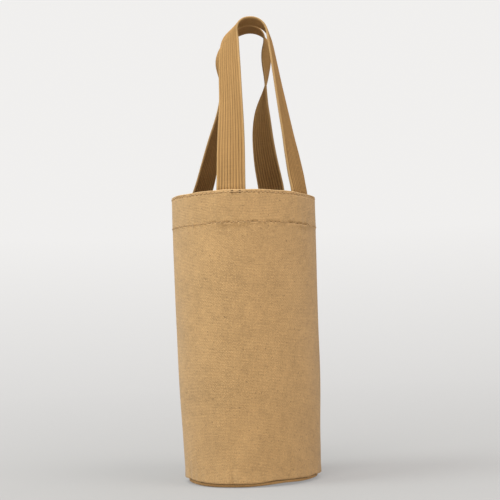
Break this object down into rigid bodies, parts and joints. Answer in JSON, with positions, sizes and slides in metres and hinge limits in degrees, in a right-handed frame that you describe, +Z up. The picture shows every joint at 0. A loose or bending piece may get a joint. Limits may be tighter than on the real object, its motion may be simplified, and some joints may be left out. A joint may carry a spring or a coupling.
{
  "type": "bottle carrier",
  "caption": "Round canvas bottle bag with a turned-in hem, a sewn-in round base and a pair of webbing handles that fold outward over the rim.",
  "frame": {"origin": "centre of the round base, on the surface that the bag stands on", "axes": "+Z up along the bag's axis to the handles' crowns, -Y towards the front handle, +X towards the body's vertical seam"},
  "size_m": [0.113, 0.113, 0.3619],
  "materials": {
    "canvas": "plain-woven cotton canvas, matt",
    "webbing": "ribbed cotton webbing, matt",
    "tape": "woven binding tape, matt",
    "thread": "twisted sewing thread"
  },
  "bodies": {
    "bag": {"body_panel": "canvas", "base_panel": "canvas", "base_seam_binding": "tape", "side_seam_binding": "tape", "top_edge_stitching": "thread", "hem_stitching": "thread", "base_seam_stitching": "thread", "side_seam_stitching": "thread", "front_handle_left_end": "webbing", "front_handle_right_end": "webbing", "back_handle_left_end": "webbing", "back_handle_right_end": "webbing"},
    "front_handle": {"front_handle_loop": "webbing"},
    "back_handle": {"back_handle_loop": "webbing"}
  },
  "joints": [
    {"name": "front_handle_fold", "type": "hinge", "parent": "bag", "child": "front_handle", "pos_m": [0.00723, -0.05402, 0.222], "axis": [0.9912, 0.1327, 0], "range_deg": [0, 178]},
    {"name": "back_handle_fold", "type": "hinge", "parent": "bag", "child": "back_handle", "pos_m": [0.00723, 0.05402, 0.222], "axis": [-0.9912, 0.1327, 0], "range_deg": [0, 178]}
  ]
}
